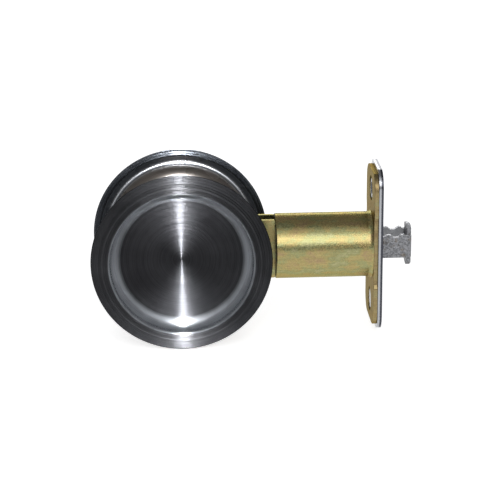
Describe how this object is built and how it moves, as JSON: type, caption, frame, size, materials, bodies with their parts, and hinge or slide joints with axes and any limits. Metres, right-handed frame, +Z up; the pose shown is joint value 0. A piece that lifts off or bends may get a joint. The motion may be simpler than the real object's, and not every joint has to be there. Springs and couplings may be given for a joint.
{
  "type": "pocket door lock",
  "caption": "Passage lock for a pocket door: round flush cups clamp the door, and a tubular edge latch carries a folded pull that slides out of the faceplate.",
  "frame": {"origin": "where the common axis of the cups crosses the axis of the edge latch, in the middle of the door's thickness", "axes": "+Y along the cups' axis, from the outside cup to the inside cup; +X along the latch, towards the door's edge; +Z up"},
  "size_m": [0.1122, 0.04, 0.0624],
  "materials": {
    "dark_satin_metal": "circular satin",
    "satin_plate": "satin",
    "yellow_zinc": "yellow passivated zinc",
    "bright_zinc": "clear zinc",
    "spring_steel": "bright",
    "guide_plastic": "moulded"
  },
  "bodies": {
    "lock_case": {"outside_cup": "dark_satin_metal", "inside_cup": "dark_satin_metal", "upper_post": "bright_zinc", "lower_post": "bright_zinc", "upper_screw": "dark_satin_metal", "lower_screw": "dark_satin_metal", "latch_tube": "yellow_zinc", "faceplate": "satin_plate", "backing_plate": "yellow_zinc", "tail_plate_outside": "yellow_zinc", "tail_plate_inside": "yellow_zinc", "upper_spacer": "bright_zinc", "lower_spacer": "bright_zinc", "front_guide": "guide_plastic", "rear_bush": "guide_plastic", "guide_pin": "bright_zinc", "detent_spring": "spring_steel", "spring_rivet": "bright_zinc"},
    "edge_pull": {"pull_bolt": "bright_zinc", "stop_pin": "bright_zinc"}
  },
  "joints": [
    {"name": "pull_slide", "type": "slide", "parent": "lock_case", "child": "edge_pull", "axis": [1, 0, 0], "range_m": [-0.00945, 0], "deforming": ["detent_spring"]}
  ]
}
